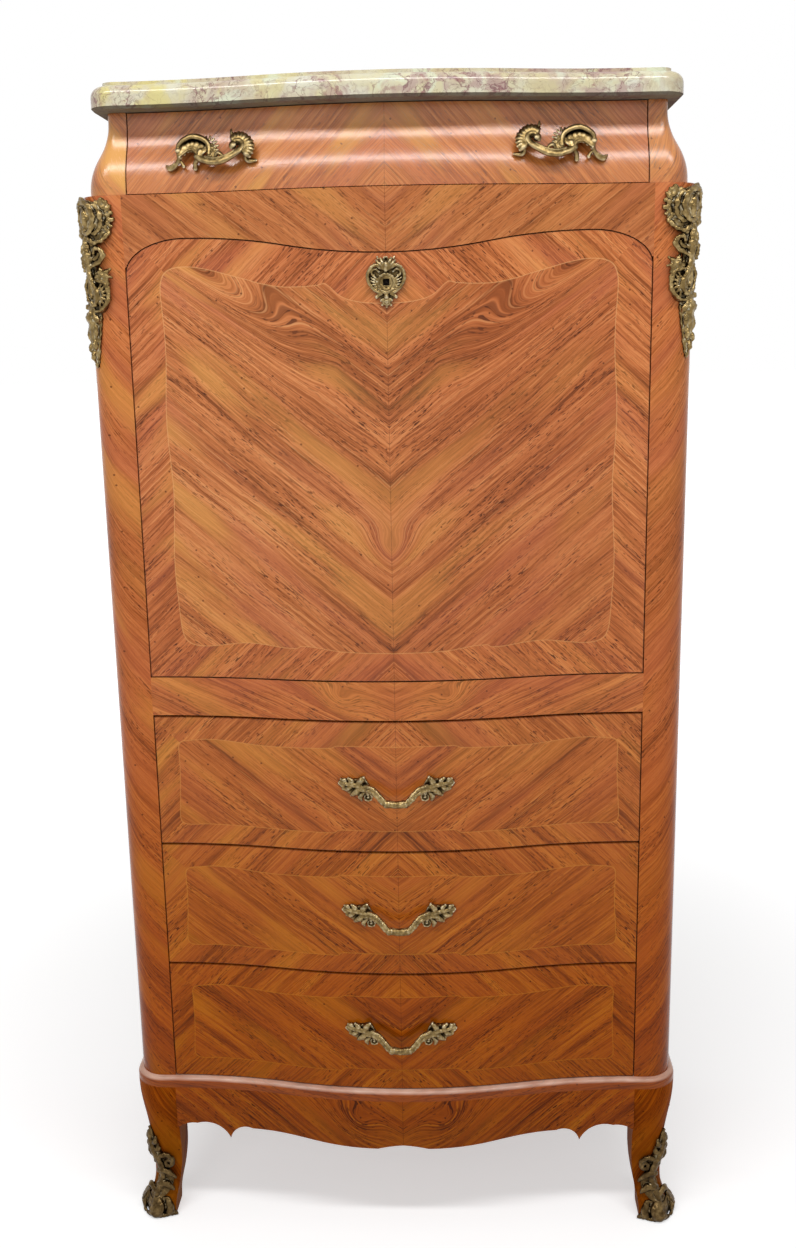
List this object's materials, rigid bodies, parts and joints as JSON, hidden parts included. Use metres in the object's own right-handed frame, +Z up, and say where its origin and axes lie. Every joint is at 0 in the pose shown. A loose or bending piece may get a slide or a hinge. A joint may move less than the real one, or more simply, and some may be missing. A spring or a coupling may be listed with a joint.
{
  "type": "drop-front escritoire",
  "caption": "Tall bow-fronted writing cabinet with a hinged fall, drawers above and below it, a moulded marble top, gilt mounts and cabriole legs.",
  "frame": {"origin": "on the floor, midway across the width and the overall depth", "axes": "+X to the viewer's right, -Y towards the front, +Z up"},
  "size_m": [0.712, 0.399, 1.4375],
  "materials": {
    "veneer": "polished tulipwood and kingwood veneer",
    "oak": "plain waxed oak",
    "marble": "polished veined marble",
    "gilt_bronze": "aged gilt bronze",
    "steel": "dull steel",
    "leather": "brown writing leather"
  },
  "bodies": {
    "carcass": {"frieze_side_left": "veneer", "frieze_side_right": "veneer", "side_panel_left": "veneer", "side_panel_right": "veneer", "stile_left": "veneer", "stile_right": "veneer", "frieze_rail": "veneer", "mid_rail": "veneer", "plinth_board": "veneer", "apron_front": "veneer", "side_aprons": "veneer", "front_leg_left": "veneer", "front_leg_right": "veneer", "rear_legs": "veneer", "nest_sides": "veneer", "nest_shelves": "veneer", "nest_dividers": "veneer", "interior_floor": "veneer", "top_board": "oak", "back_panel": "oak", "frieze_shelf": "oak", "dust_boards": "oak", "drawer_guides": "oak", "marble_top": "marble", "sabot_left": "gilt_bronze", "sabot_right": "gilt_bronze", "chute_left": "gilt_bronze", "chute_right": "gilt_bronze", "strike_plate": "gilt_bronze"},
    "fall": {"fall_panel": "veneer", "fall_leather": "leather", "fall_escutcheon": "gilt_bronze", "fall_lock_case": "steel", "fall_pivots": "steel"},
    "bolt": {"lock_bolt": "steel"},
    "top_drawer": {"top_drawer_front": "veneer", "top_drawer_walls": "oak", "top_drawer_bottom": "oak", "top_drawer_handles": "gilt_bronze"},
    "drawer_1": {"drawer_1_front": "veneer", "drawer_1_walls": "oak", "drawer_1_bottom": "oak", "drawer_1_handle": "gilt_bronze"},
    "drawer_2": {"drawer_2_front": "veneer", "drawer_2_walls": "oak", "drawer_2_bottom": "oak", "drawer_2_handle": "gilt_bronze"},
    "drawer_3": {"drawer_3_front": "veneer", "drawer_3_walls": "oak", "drawer_3_bottom": "oak", "drawer_3_handle": "gilt_bronze"},
    "nest_drawer_left": {"nest_drawer_left_front": "veneer", "nest_drawer_left_box": "oak", "nest_drawer_left_knob": "gilt_bronze"},
    "nest_drawer_right": {"nest_drawer_right_front": "veneer", "nest_drawer_right_box": "oak", "nest_drawer_right_knob": "gilt_bronze"}
  },
  "joints": [
    {"name": "fall_hinge", "type": "hinge", "parent": "carcass", "child": "fall", "pos_m": [0, -0.1305, 0.812], "axis": [1, 0, 0], "range_deg": [0, 90]},
    {"name": "bolt_slide", "type": "slide", "parent": "fall", "child": "bolt", "axis": [0, 0, 1], "range_m": [0, 0.008]},
    {"name": "top_drawer_slide", "type": "slide", "parent": "carcass", "child": "top_drawer", "axis": [0, -1, 0], "range_m": [0, 0.22]},
    {"name": "drawer_1_slide", "type": "slide", "parent": "carcass", "child": "drawer_1", "axis": [0, -1, 0], "range_m": [0, 0.24]},
    {"name": "drawer_2_slide", "type": "slide", "parent": "carcass", "child": "drawer_2", "axis": [0, -1, 0], "range_m": [0, 0.24]},
    {"name": "drawer_3_slide", "type": "slide", "parent": "carcass", "child": "drawer_3", "axis": [0, -1, 0], "range_m": [0, 0.24]},
    {"name": "nest_drawer_left_slide", "type": "slide", "parent": "carcass", "child": "nest_drawer_left", "axis": [0, -1, 0], "range_m": [0, 0.1]},
    {"name": "nest_drawer_right_slide", "type": "slide", "parent": "carcass", "child": "nest_drawer_right", "axis": [0, -1, 0], "range_m": [0, 0.1]}
  ]
}
